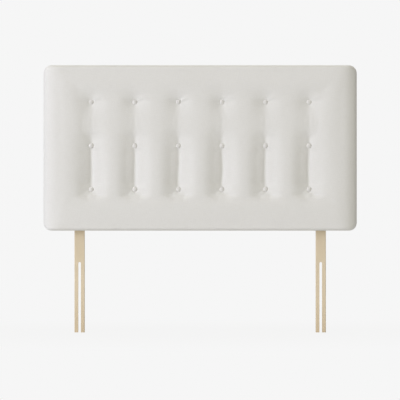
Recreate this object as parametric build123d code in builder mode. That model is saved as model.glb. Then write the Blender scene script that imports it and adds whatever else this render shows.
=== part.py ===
from build123d import *
from math import atan2, hypot, tan
import os

os.makedirs("parts", exist_ok=True)

# A button-tufted headboard on two slotted struts.
# X runs to the right as seen from the front, -Y is the padded front, Z is up.
# The origin lies midway between the struts, at their feet, in the plane of
# their front faces: the plane that is bolted against the end of a bed base.

# Padded panel, seen from the front
panel_width = 1350
panel_height = 712
corner_radius = 34
edge_roll = 30

# Struts and their open-ended slots
strut_width = 44
strut_thickness = 20
strut_spacing = 1042
strut_drop = 440
strut_overlap = 260
strut_arris = 2
slot_width = 11.5
slot_length = 304

# Layers of the panel, from the back to the front
lining_thickness = 0.8
cover_thickness = 1.4
frame_thickness = 20
board_thickness = 4
foam_thickness = 50
wadding_thickness = 6
layer_clearance = 0.3

# Tufting: a grid of buttons, each column joined by a sewn-in valley
column_count = 6
row_count = 3
column_pitch = 187.5
row_pitch = 188
top_row_drop = 158
tuft_depth = 20
tuft_half_width = 80
tuft_rim = 1

# Down one tuft line: places in row pitches from the top button, depths and
# half widths as shares of the sizes above. The line is shallow between the
# first two buttons, deep between the last two, and fades out at both ends.
tuft_line_shares = [
    (-0.36, -0.03, 0.55),
    (-0.16, 0.30, 0.80),
    (0.00, 0.75, 1.00),
    (0.20, 0.34, 1.00),
    (0.45, 0.24, 1.00),
    (0.72, 0.48, 1.00),
    (1.00, 0.95, 1.00),
    (1.22, 0.78, 1.00),
    (1.50, 0.85, 1.00),
    (1.78, 0.95, 1.00),
    (2.00, 1.15, 1.00),
    (2.16, 0.40, 0.80),
    (2.36, -0.03, 0.55),
]
tuft_fullness_share = 0.8

# Covered buttons
button_radius = 11
button_height = 7
button_cloth = 0.9
button_shell = 0.6
button_clearance = 0.5
dish_sink = 3
dish_height = 16
eye_wire_radius = 0.6
eye_reach = 3

# Ties and toggles
twine_radius = 0.8
tie_clearance = 0.15
cover_hole_radius = 3
wadding_hole_radius = 5
foam_hole_radius = 6
board_hole_radius = 5
toggle_radius = 2.5
toggle_length = 26

# Softwood frame
rail_width = 44
strut_rail_width = 69
corner_block_leg = 55

# Frame screws
screw_length = 70
screw_radius = 2
screw_head_radius = 4
screw_head_height = 2.6
screw_point = 5
screw_edge_share = 0.25

# Board pins
pin_length = 18
pin_radius = 0.8
pin_head_radius = 1.6
pin_head_height = 0.7
pin_pitch = 150
rail_pin_count = 9
upright_pin_count = 3

# Strut bolts, washers and tee nuts
bolt_radius = 4
bolt_length = 40
bolt_head_flats = 13
bolt_head_height = 5.3
bolt_chamfer = 1
bolt_clearance = 0.5
bolt_low = 85
bolt_pitch = 140
washer_radius = 12
washer_thickness = 1.6
tee_flange_radius = 11
tee_flange_thickness = 1.6
tee_barrel_radius = 5.2
tee_barrel_length = 11
tee_thread_clearance = 0.1
prong_count = 3
prong_length = 6
prong_width = 2.4
prong_thickness = 0.8
prong_rim = 1

# Cover turn-in, back lining and their staples
turn_in = 45
lining_inset = 15
staple_crown = 10
staple_wire = 0.8
cover_staple_leg = 8
cover_staple_inset = 36
cover_staple_pitch = 75
lining_staple_leg = 9
lining_staple_inset = 22
lining_staple_pitch = 100

overrun = 25

# Heights
panel_bottom = strut_drop
panel_top = strut_drop + panel_height
panel_middle = strut_drop + panel_height / 2
strut_length = strut_drop + strut_overlap

# Faces of the layers, from the back to the front
lining_back = 0
lining_front = lining_back - lining_thickness
turn_in_back = lining_front - staple_wire
frame_back = turn_in_back - cover_thickness
frame_front = frame_back - frame_thickness
frame_middle = (frame_back + frame_front) / 2
board_front = frame_front - board_thickness
foam_front = board_front - foam_thickness

# How far each soft layer's outer face lies inside the cover's. The frame
# fills the same outline as the foam
wadding_inset = cover_thickness + layer_clearance
wadding_inner_inset = wadding_inset + wadding_thickness
soft_thickness = wadding_inner_inset + layer_clearance
cover_front = foam_front - soft_thickness
frame_width = panel_width - 2 * soft_thickness
frame_height = panel_height - 2 * soft_thickness
frame_corner = corner_radius - soft_thickness
upright_length = frame_height - 2 * rail_width
stile_centre = (frame_width - rail_width) / 2
strut_centre = strut_spacing / 2
rail_centre = (frame_height - rail_width) / 2

column_places = [
    (column - (column_count - 1) / 2) * column_pitch for column in range(column_count)
]
row_places = [panel_top - top_row_drop - row * row_pitch for row in range(row_count)]
tuft_depths = {round(place): depth for place, depth, _ in tuft_line_shares if place == round(place)}
seat_faces = [cover_front + tuft_depths[row] * tuft_depth + dish_sink for row in range(row_count)]


def across(y):
    """The upright plane at a depth, seen from the front: its own y is up."""
    return Plane.XZ.offset(-y)


def keep(piece, name):
    """Label a finished piece and write it."""
    piece.label = name
    export_step(piece, f"parts/{name}.step")


def full_arc(start, end):
    """An arc from the valley's rim to its crease, bulging towards the front."""
    run, fall = end[0] - start[0], end[1] - start[1]
    chord = hypot(run, fall)
    bulge = chord / 2 * tan(tuft_fullness_share * atan2(fall, abs(run)) / 2)
    middle = (
        (start[0] + end[0]) / 2 + bulge * (fall if run > 0 else -fall) / chord,
        (start[1] + end[1]) / 2 - bulge * abs(run) / chord,
    )
    ThreePointArc(start, middle, end)


# One tuft line as the space above the cloth: two full arcs that meet in a
# crease, lofted down the column. It stands at the cover's front face.
rim_face = cover_front - tuft_rim
with BuildPart() as tuft_line:
    for place_share, depth_share, width_share in tuft_line_shares:
        half_width = tuft_half_width * width_share
        crease = cover_front + tuft_depth * depth_share
        with BuildSketch(Plane.XY.offset(row_places[0] - place_share * row_pitch)):
            with BuildLine():
                full_arc((-half_width, rim_face), (0, crease))
                full_arc((half_width, rim_face), (0, crease))
                Polyline(
                    (half_width, rim_face),
                    (half_width, rim_face - overrun),
                    (-half_width, rim_face - overrun),
                    (-half_width, rim_face),
                )
            make_face()
    loft(ruled=True)

# The dish that a button draws in the cloth, with its flat at the seat
dish_radius = button_radius + button_clearance
with BuildPart() as dish:
    with BuildSketch(Plane.XY):
        Polygon(
            (0, 0),
            (dish_radius, 0),
            (dish_radius + dish_height, -dish_height),
            (0, -dish_height),
            align=None,
        )
    revolve(axis=Axis.Y)


def padded_form(inset, back):
    """The tufted slab, from a back face to a front that lies one inset behind the cover's."""
    with BuildPart() as form:
        with BuildSketch(across(back)):
            with Locations((0, panel_middle)):
                RectangleRounded(
                    panel_width - 2 * inset, panel_height - 2 * inset, corner_radius - inset
                )
        extrude(amount=back - cover_front - inset)
        fillet(form.faces().sort_by(Axis.Y)[0].edges(), radius=edge_roll - inset)
        with Locations(*[(x, inset, 0) for x in column_places]):
            add(tuft_line.part, mode=Mode.SUBTRACT)
        with Locations(
            *[(x, seat + inset, z) for x in column_places for z, seat in zip(row_places, seat_faces)]
        ):
            add(dish.part, mode=Mode.SUBTRACT)
    return form.part


button_grid = [(x, z) for x in column_places for z in row_places]


def pierce(from_face, to_face, radius):
    """Tie holes through the open part, one behind each button."""
    with BuildSketch(across(from_face)) as holes:
        with Locations(*button_grid):
            Circle(radius)
    extrude(holes.sketch, amount=from_face - to_face, mode=Mode.SUBTRACT)


# Staples, with the crown at zero and the legs towards the front
def staple_shape(leg):
    """One wire staple, lying along X."""
    with BuildPart() as staple:
        with BuildSketch(Plane.XY):
            with BuildLine():
                Polyline(
                    (-staple_crown / 2, 0),
                    (staple_crown / 2, 0),
                    (staple_crown / 2, -leg),
                    (staple_crown / 2 - staple_wire, -leg),
                    (staple_crown / 2 - staple_wire, -staple_wire),
                    (staple_wire - staple_crown / 2, -staple_wire),
                    (staple_wire - staple_crown / 2, -leg),
                    (-staple_crown / 2, -leg),
                    close=True,
                )
            make_face()
        extrude(amount=staple_wire / 2, both=True)
    return staple.part


def staple_ring(back, inset, pitch, blocked):
    """Staple places round the panel's back, leaving out those behind a strut."""
    across_count = int((panel_width - 2 * corner_radius - 2 * inset) // pitch) + 1
    upward_count = int((panel_height - 2 * corner_radius - 2 * inset) // pitch) + 1
    ring = []
    for column in range(across_count):
        x = (column - (across_count - 1) / 2) * pitch
        under_strut = abs(abs(x) - strut_centre) < (strut_width + staple_crown) / 2
        ring.append(Location((x, back, panel_top - inset)))
        if not (blocked and under_strut):
            ring.append(Location((x, back, panel_bottom + inset)))
    for row in range(upward_count):
        z = panel_middle + (row - (upward_count - 1) / 2) * pitch
        for side in (-1, 1):
            ring.append(Location((side * (panel_width / 2 - inset), back, z), (0, 90, 0)))
    return ring


cover_ring = staple_ring(
    lining_front, cover_staple_inset, cover_staple_pitch, blocked=False
)
lining_ring = staple_ring(
    lining_back + staple_wire, lining_staple_inset, lining_staple_pitch, blocked=True
)
cover_staple = staple_shape(cover_staple_leg + staple_wire)
lining_staple = staple_shape(lining_staple_leg + staple_wire)

with BuildPart() as cover_staples:
    with Locations(*cover_ring):
        add(cover_staple)
keep(cover_staples.part, "cover_staples")

with BuildPart() as lining_staples:
    with Locations(*lining_ring):
        add(lining_staple)
keep(lining_staples.part, "lining_staples")


def drive_staples():
    """Cut the legs of both rings of staples out of the open part."""
    with Locations(*cover_ring):
        add(cover_staple, mode=Mode.SUBTRACT)
    with Locations(*lining_ring):
        add(lining_staple, mode=Mode.SUBTRACT)


# Soft layers
with BuildPart() as cover:
    add(padded_form(0, turn_in_back))
    add(padded_form(cover_thickness, frame_back), mode=Mode.SUBTRACT)
    with BuildSketch(across(turn_in_back)):
        with Locations((0, panel_middle)):
            Rectangle(panel_width - 2 * turn_in, panel_height - 2 * turn_in)
    extrude(amount=cover_thickness, mode=Mode.SUBTRACT)
    pierce(turn_in_back, cover_front, cover_hole_radius)
    drive_staples()
keep(cover.part, "cover")

with BuildPart() as wadding:
    add(padded_form(wadding_inset, frame_back))
    add(padded_form(wadding_inner_inset, frame_back), mode=Mode.SUBTRACT)
    pierce(frame_back, cover_front, wadding_hole_radius)
keep(wadding.part, "wadding")

with BuildPart() as foam_pad:
    add(padded_form(soft_thickness, frame_back))
    split(bisect_by=across(board_front), keep=Keep.TOP)
    pierce(board_front, cover_front, foam_hole_radius)
keep(foam_pad.part, "foam_pad")

with BuildPart() as back_lining:
    with BuildSketch(across(lining_back)):
        with Locations((0, panel_middle)):
            Rectangle(panel_width - 2 * lining_inset, panel_height - 2 * lining_inset)
        with Locations(
            *[
                (side * strut_centre, panel_bottom + bolt_low + row * bolt_pitch)
                for side in (-1, 1)
                for row in range(2)
            ]
        ):
            Circle(bolt_radius + bolt_clearance, mode=Mode.SUBTRACT)
    extrude(amount=lining_thickness)
    with Locations(*lining_ring):
        add(lining_staple, mode=Mode.SUBTRACT)
keep(back_lining.part, "back_lining")

# Frame screws point along -Z from their heads
with BuildPart() as frame_screw:
    with BuildSketch(Plane.XZ):
        Polygon(
            (0, 0),
            (screw_head_radius, 0),
            (screw_radius, -screw_head_height),
            (screw_radius, screw_point - screw_length),
            (0, -screw_length),
            align=None,
        )
    revolve(axis=Axis.Z)

uprights = {
    "left_stile": (-stile_centre, rail_width),
    "left_strut_rail": (-strut_centre, strut_rail_width),
    "centre_stile": (0, rail_width),
    "right_strut_rail": (strut_centre, strut_rail_width),
    "right_stile": (stile_centre, rail_width),
}

# One screw into each end of a stile, clear of the frame's rounded corners, and
# two into each end of the wider strut rails
stile_screw = frame_width / 2 - frame_corner - screw_head_radius
strut_screw_offset = strut_rail_width * screw_edge_share
screw_columns = [0]
for side in (-1, 1):
    screw_columns.append(side * stile_screw)
    screw_columns.append(side * (strut_centre - strut_screw_offset))
    screw_columns.append(side * (strut_centre + strut_screw_offset))
screw_places = []
for x in screw_columns:
    top_end = (x, frame_middle, panel_middle + frame_height / 2)
    bottom_end = (x, frame_middle, panel_middle - frame_height / 2)
    screw_places.append(Location(top_end))
    screw_places.append(Location(bottom_end, (180, 0, 0)))

with BuildPart() as frame_screws:
    with Locations(*screw_places):
        add(frame_screw.part)
keep(frame_screws.part, "frame_screws")

# Board pins point along +Y from the board's front
with BuildPart() as board_pin:
    with BuildSketch(Plane.XY):
        Polygon(
            (0, 0),
            (pin_head_radius, 0),
            (pin_head_radius, pin_head_height),
            (pin_radius, pin_head_height),
            (pin_radius, pin_length - 2 * pin_radius),
            (0, pin_length),
            align=None,
        )
    revolve(axis=Axis.Y)

pin_places = []
for pin in range(rail_pin_count):
    x = (pin - (rail_pin_count - 1) / 2) * pin_pitch
    for side in (-1, 1):
        pin_places.append(Location((x, board_front, panel_middle + side * rail_centre)))
for x, _ in uprights.values():
    for pin in range(upright_pin_count):
        z = panel_middle + (pin - (upright_pin_count - 1) / 2) * pin_pitch
        pin_places.append(Location((x, board_front, z)))

with BuildPart() as board_pins:
    with Locations(*pin_places):
        add(board_pin.part)
keep(board_pins.part, "board_pins")


def drive_fasteners():
    """Cut every screw, pin and staple that enters the frame out of the open part."""
    with Locations(*screw_places):
        add(frame_screw.part, mode=Mode.SUBTRACT)
    with Locations(*pin_places):
        add(board_pin.part, mode=Mode.SUBTRACT)
    drive_staples()


# Rails, with their outer corners rounded to the panel's outline
for name, side in {"top_rail": 1, "bottom_rail": -1}.items():
    with BuildPart() as rail:
        with BuildSketch(across(frame_back)) as outline:
            with Locations((0, panel_middle + side * rail_centre)):
                Rectangle(frame_width, rail_width)
            fillet(outline.vertices().group_by(Axis.Y)[-1 if side > 0 else 0], radius=frame_corner)
        extrude(amount=frame_thickness)
        drive_fasteners()
    keep(rail.part, name)

# Strut bolts go in from behind, through strut, lining and strut rail
bolt_places = [
    Location((side * strut_centre, 0, panel_bottom + bolt_low + row * bolt_pitch))
    for side in (-1, 1)
    for row in range(2)
]

with BuildPart() as tee_nut:
    with BuildSketch(across(frame_front)):
        Circle(tee_flange_radius)
    extrude(amount=-tee_flange_thickness)
    with BuildSketch(across(frame_front)):
        Circle(tee_barrel_radius)
    extrude(amount=-tee_barrel_length)
    with BuildSketch(across(frame_front + tee_flange_thickness)):
        with PolarLocations(tee_flange_radius - prong_rim - prong_thickness / 2, prong_count):
            Rectangle(prong_thickness, prong_width)
    extrude(amount=-prong_length)
tee_nut_blank = tee_nut.part

for name, (x, width) in uprights.items():
    with BuildPart() as upright:
        with BuildSketch(across(frame_back)):
            with Locations((x, panel_middle)):
                Rectangle(width, upright_length)
        extrude(amount=frame_thickness)
        drive_fasteners()
        if abs(x) == strut_centre:
            with Locations(*bolt_places):
                add(tee_nut_blank, mode=Mode.SUBTRACT)
                Cylinder(
                    bolt_radius + bolt_clearance,
                    2 * frame_thickness,
                    rotation=(90, 0, 0),
                    mode=Mode.SUBTRACT,
                )
    keep(upright.part, name)

with BuildPart() as tee_nuts:
    with Locations(*bolt_places):
        add(tee_nut_blank)
    with BuildSketch(across(frame_front)):
        with Locations(*[(place.position.X, place.position.Z) for place in bolt_places]):
            Circle(bolt_radius + tee_thread_clearance)
    extrude(amount=-tee_barrel_length, mode=Mode.SUBTRACT)
keep(tee_nuts.part, "tee_nuts")

with BuildPart() as corner_blocks:
    inner_x = stile_centre - rail_width / 2
    inner_z = upright_length / 2
    for side_x in (-1, 1):
        for side_z in (-1, 1):
            corner_x, corner_z = side_x * inner_x, panel_middle + side_z * inner_z
            with BuildSketch(across(frame_back)):
                Polygon(
                    (corner_x, corner_z),
                    (corner_x - side_x * corner_block_leg, corner_z),
                    (corner_x, corner_z - side_z * corner_block_leg),
                    align=None,
                )
            extrude(amount=frame_thickness)
keep(corner_blocks.part, "corner_blocks")

with BuildPart() as front_board:
    with BuildSketch(across(frame_front)):
        with Locations((0, panel_middle)):
            RectangleRounded(frame_width, frame_height, frame_corner)
        with Locations(*button_grid):
            Circle(board_hole_radius, mode=Mode.SUBTRACT)
    extrude(amount=board_thickness)
    with Locations(*pin_places):
        add(board_pin.part, mode=Mode.SUBTRACT)
keep(front_board.part, "front_board")

# Struts: the slot's top is round and its bottom is open
for name, x in {"left_strut": -strut_centre, "right_strut": strut_centre}.items():
    slot_round = slot_length - slot_width / 2
    with BuildPart() as strut:
        with BuildSketch(across(0)):
            with Locations((x, strut_length / 2)):
                Rectangle(strut_width, strut_length)
        extrude(amount=-strut_thickness)
        chamfer(strut.edges().filter_by(Axis.Z), length=strut_arris)
        with BuildSketch(across(0)):
            with Locations((x, slot_round / 2)):
                Rectangle(slot_width, slot_round)
            with Locations((x, slot_round)):
                Circle(slot_width / 2)
        extrude(amount=-strut_thickness, mode=Mode.SUBTRACT)
        with BuildSketch(across(0)):
            with Locations((x, panel_bottom + bolt_low), (x, panel_bottom + bolt_low + bolt_pitch)):
                Circle(bolt_radius + bolt_clearance)
        extrude(amount=-strut_thickness, mode=Mode.SUBTRACT)
    keep(strut.part, name)

washer_face = strut_thickness + washer_thickness
with BuildPart() as strut_washers:
    with BuildSketch(across(strut_thickness)):
        with Locations(*[(place.position.X, place.position.Z) for place in bolt_places]):
            Circle(washer_radius)
            Circle(bolt_radius + bolt_clearance, mode=Mode.SUBTRACT)
    extrude(amount=-washer_thickness)
keep(strut_washers.part, "strut_washers")

with BuildPart() as strut_bolt:
    with BuildSketch(across(washer_face)):
        RegularPolygon(bolt_head_flats / 2, 6, major_radius=False)
    extrude(amount=-bolt_head_height)
    with BuildSketch(across(washer_face)):
        Circle(bolt_radius)
    extrude(amount=bolt_length)
    chamfer(strut_bolt.faces().sort_by(Axis.Y)[0].edges(), length=bolt_chamfer)

with BuildPart() as strut_bolts:
    with Locations(*bolt_places):
        add(strut_bolt.part)
keep(strut_bolts.part, "strut_bolts")

# Covered buttons: a domed shell in a cloth cap, closed by a disc with an eye
inner_radius = button_radius - button_cloth
inner_height = button_height - button_cloth
disc_radius = inner_radius - button_shell - button_cloth / 2


def dome_arc(radius, height, base):
    """The dome's outline from its foot to its crown, less than a quarter turn."""
    half_angle = atan2(height - base, radius)
    sagitta = hypot(radius, height - base) / 2 * tan(half_angle / 2)
    middle = (
        radius / 2 + sagitta * (height - base) / hypot(radius, height - base),
        -(height + base) / 2 - sagitta * radius / hypot(radius, height - base),
    )
    ThreePointArc((radius, -base), middle, (0, -height))


with BuildPart() as button_cap:
    with BuildSketch(Plane.XY):
        with BuildLine():
            Polyline((disc_radius, 0), (button_radius, 0))
            dome_arc(button_radius, button_height, 0)
            Line((0, -button_height), (0, -inner_height))
            dome_arc(inner_radius, inner_height, button_cloth)
            Polyline((inner_radius, -button_cloth), (disc_radius, -button_cloth), (disc_radius, 0))
        make_face()
    revolve(axis=Axis.Y)

with BuildPart() as button_dome:
    with BuildSketch(Plane.XY):
        with BuildLine():
            dome_arc(inner_radius, inner_height, button_cloth)
            Line((0, -inner_height), (0, button_shell - inner_height))
            dome_arc(inner_radius - button_shell, inner_height - button_shell, button_cloth)
            Line((inner_radius - button_shell, -button_cloth), (inner_radius, -button_cloth))
        make_face()
    revolve(axis=Axis.Y)

eye_radius = twine_radius + eye_wire_radius + tie_clearance
with BuildPart() as button_back:
    with BuildSketch(Plane.XZ):
        Circle(disc_radius)
    extrude(amount=button_cloth)
    with BuildLine(Plane.YZ) as eye_path:
        Line((0, -eye_radius), (eye_reach, -eye_radius))
        CenterArc((eye_reach, 0), eye_radius, -90, 180)
        Line((eye_reach, eye_radius), (0, eye_radius))
    with BuildSketch(Plane.XZ):
        with Locations((0, -eye_radius)):
            Circle(eye_wire_radius)
    sweep(path=eye_path.wires()[0])

button_seats = [
    Location((x, seat, z)) for x in column_places for z, seat in zip(row_places, seat_faces)
]
button_pieces = {
    "button_caps": button_cap.part,
    "button_shells": button_dome.part,
    "button_backs": button_back.part,
}
for name, piece in button_pieces.items():
    with BuildPart() as buttons:
        with Locations(*button_seats):
            add(piece)
    keep(buttons.part, name)

# Toggles lie against the back of the board, and each tie runs round one
toggle_centre = frame_front + toggle_radius
with BuildPart() as tie_toggles:
    with Locations(*[(x, toggle_centre, z) for x, z in button_grid]):
        Cylinder(toggle_radius, toggle_length)
keep(tie_toggles.part, "tie_toggles")

tie_turn = toggle_radius + twine_radius + tie_clearance
with BuildPart() as button_ties:
    for place in button_seats:
        x, z = place.position.X, place.position.Z
        front_turn = place.position.Y + eye_reach + tie_turn
        with BuildLine(Plane.XY.offset(z)) as tie_path:
            Line((x - tie_turn, front_turn), (x - tie_turn, toggle_centre))
            CenterArc((x, toggle_centre), tie_turn, 180, -180)
            Line((x + tie_turn, toggle_centre), (x + tie_turn, front_turn))
            CenterArc((x, front_turn), tie_turn, 0, -180)
        with BuildSketch(Plane.XZ.offset(-front_turn)):
            with Locations((x - tie_turn, z)):
                Circle(twine_radius)
        sweep(path=tie_path.wires()[0])
keep(button_ties.part, "button_ties")
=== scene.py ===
"""A padded, button-tufted headboard on two slotted softwood struts, dressed for a studio view.

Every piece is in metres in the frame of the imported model: X to the right, -Y out of the padded
front, Z up. The panel's cloth is drawn down along six seams and eighteen buttons, and then filled
out by a cloth simulation.
"""

import logging
import math
from collections.abc import Callable, Iterable
from dataclasses import dataclass, replace
from enum import Enum

import bmesh
import bpy
from mathutils import Matrix, Vector, noise
from mathutils.kdtree import KDTree


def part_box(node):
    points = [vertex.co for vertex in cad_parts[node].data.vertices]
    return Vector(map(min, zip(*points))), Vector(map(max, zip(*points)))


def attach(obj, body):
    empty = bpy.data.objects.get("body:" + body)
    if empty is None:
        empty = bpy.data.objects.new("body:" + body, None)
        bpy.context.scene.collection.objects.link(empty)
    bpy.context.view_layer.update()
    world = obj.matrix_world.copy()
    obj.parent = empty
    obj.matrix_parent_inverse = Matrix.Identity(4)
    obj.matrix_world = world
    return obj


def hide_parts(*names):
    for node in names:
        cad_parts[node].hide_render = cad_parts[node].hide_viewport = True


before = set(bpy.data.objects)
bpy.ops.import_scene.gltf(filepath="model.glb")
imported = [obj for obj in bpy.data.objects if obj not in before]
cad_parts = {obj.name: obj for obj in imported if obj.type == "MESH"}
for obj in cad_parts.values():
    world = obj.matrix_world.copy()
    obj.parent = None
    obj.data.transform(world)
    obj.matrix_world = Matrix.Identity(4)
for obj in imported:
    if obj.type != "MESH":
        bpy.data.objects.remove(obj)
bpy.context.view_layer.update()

log = logging.getLogger("headboard")

MM = 0.001
TINY = 1e-6
BODY = "root"
CLOTH_LAYOUT = "cloth"

Colour = tuple[float, float, float]
Node = bpy.types.Node
Socket = bpy.types.NodeSocket


def mix(low: float, high: float, share: float) -> float:
    """Returns the value that lies a share of the way from low to high."""
    return low + (high - low) * share


def ease(value: float, start: float, end: float) -> float:
    """Returns 0 before start and 1 after end, with a smooth rise between them."""
    share = min(max((value - start) / (end - start), 0.0), 1.0)
    return share * share * (3 - 2 * share)


def bell(distance: float, reach: float) -> float:
    """Returns 1 at no distance, and a smooth fall to about a tenth at the reach."""
    return math.exp(-2.2 * (distance / reach) ** 2)


def stray(*place: float) -> float:
    """Returns smooth noise, mostly from -0.6 to 0.6, at a place given by three numbers."""
    return noise.noise(Vector(place))


# Node trees


class Wiring:
    """Adds and joins the nodes of one material, world or node group."""

    def __init__(self, tree: bpy.types.NodeTree) -> None:
        """Keeps the tree and empties it.

        Args:
            tree: The tree to fill.
        """
        self.tree = tree
        tree.nodes.clear()

    def feed(self, node: Node, feeds: dict) -> None:
        """Sets or links a node's inputs.

        Args:
            node: The node.
            feeds: Values or output sockets for its inputs, by name or number.
        """
        for name, value in feeds.items():
            if isinstance(value, Socket):
                self.tree.links.new(value, node.inputs[name])
            else:
                node.inputs[name].default_value = value

    def add(self, kind: str, feeds: dict | None = None, **settings: object) -> Node:
        """Adds a node.

        Args:
            kind: The node's type without its ShaderNode prefix.
            feeds: Values or output sockets for its inputs, by name or number.
            settings: Properties of the node.

        Returns:
            The new node.
        """
        node = self.tree.nodes.new(kind if kind.startswith("Node") else "ShaderNode" + kind)
        for name, value in settings.items():
            setattr(node, name, value)
        self.feed(node, feeds or {})
        return node

    def calc(self, operation: str, *values: object, clamp: bool = False) -> Socket:
        """Adds a Math node.

        Args:
            operation: The node's operation.
            values: Its numbers or sockets, in order.
            clamp: Whether the result is kept from 0 to 1.

        Returns:
            The result's socket.
        """
        feeds = dict(enumerate(values))
        return self.add("Math", feeds, operation=operation, use_clamp=clamp).outputs[0]

    def span(self, value: Socket, low: float, high: float) -> Socket:
        """Returns the socket of a value from 0 to 1 spread from low to high."""
        return self.calc("ADD", self.calc("MULTIPLY", value, high - low), low)

    def weighted(self, *parts: tuple[Socket, float]) -> Socket:
        """Adds up values.

        Args:
            parts: Pairs of a value's socket and its weight.

        Returns:
            The sum's socket.
        """
        first, *others = (self.calc("MULTIPLY", *part) for part in parts)
        for other in others:
            first = self.calc("ADD", first, other)
        return first

    def noise(self, place: Socket, scale: object, detail: float,
              stretch: tuple[float, ...] = ()) -> Node:
        """Adds a Noise Texture.

        Args:
            place: The socket of the place that it reads.
            scale: Its scale, a number or a socket.
            detail: How many finer layers it has.
            stretch: What the place's three parts are multiplied by first, if anything.

        Returns:
            The texture's node.
        """
        if stretch:
            place = self.add("Mapping", {"Vector": place, "Scale": stretch}).outputs[0]
        return self.add("TexNoise", {"Vector": place, "Scale": scale, "Detail": detail})

    def ramp(self, value: Socket, *stops: tuple[float, Colour]) -> Socket:
        """Adds a colour ramp.

        Args:
            value: The socket that drives it.
            stops: Two pairs of a place from 0 to 1 and a colour.

        Returns:
            The colour's socket.
        """
        node = self.add("ValToRGB", {0: value})
        for point, (place, colour) in zip(node.color_ramp.elements, stops, strict=True):
            point.position = place
            point.color = (*colour, 1)
        return node.outputs[0]

    def effect(self, tree: bpy.types.NodeTree, **feeds: object) -> bpy.types.NodeOutputs:
        """Returns the outputs of a new node that holds a shared group, fed by name."""
        return self.add("Group", feeds, node_tree=tree).outputs

    def bump(self, height: Socket, strength: float, depth: float) -> Socket:
        """Adds a Bump node.

        Args:
            height: The relief's socket, from 0 to 1.
            strength: How much of the relief is used.
            depth: The relief's depth in metres.

        Returns:
            The normal's socket.
        """
        feeds = {"Height": height, "Strength": strength, "Distance": depth}
        return self.add("Bump", feeds).outputs[0]


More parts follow.
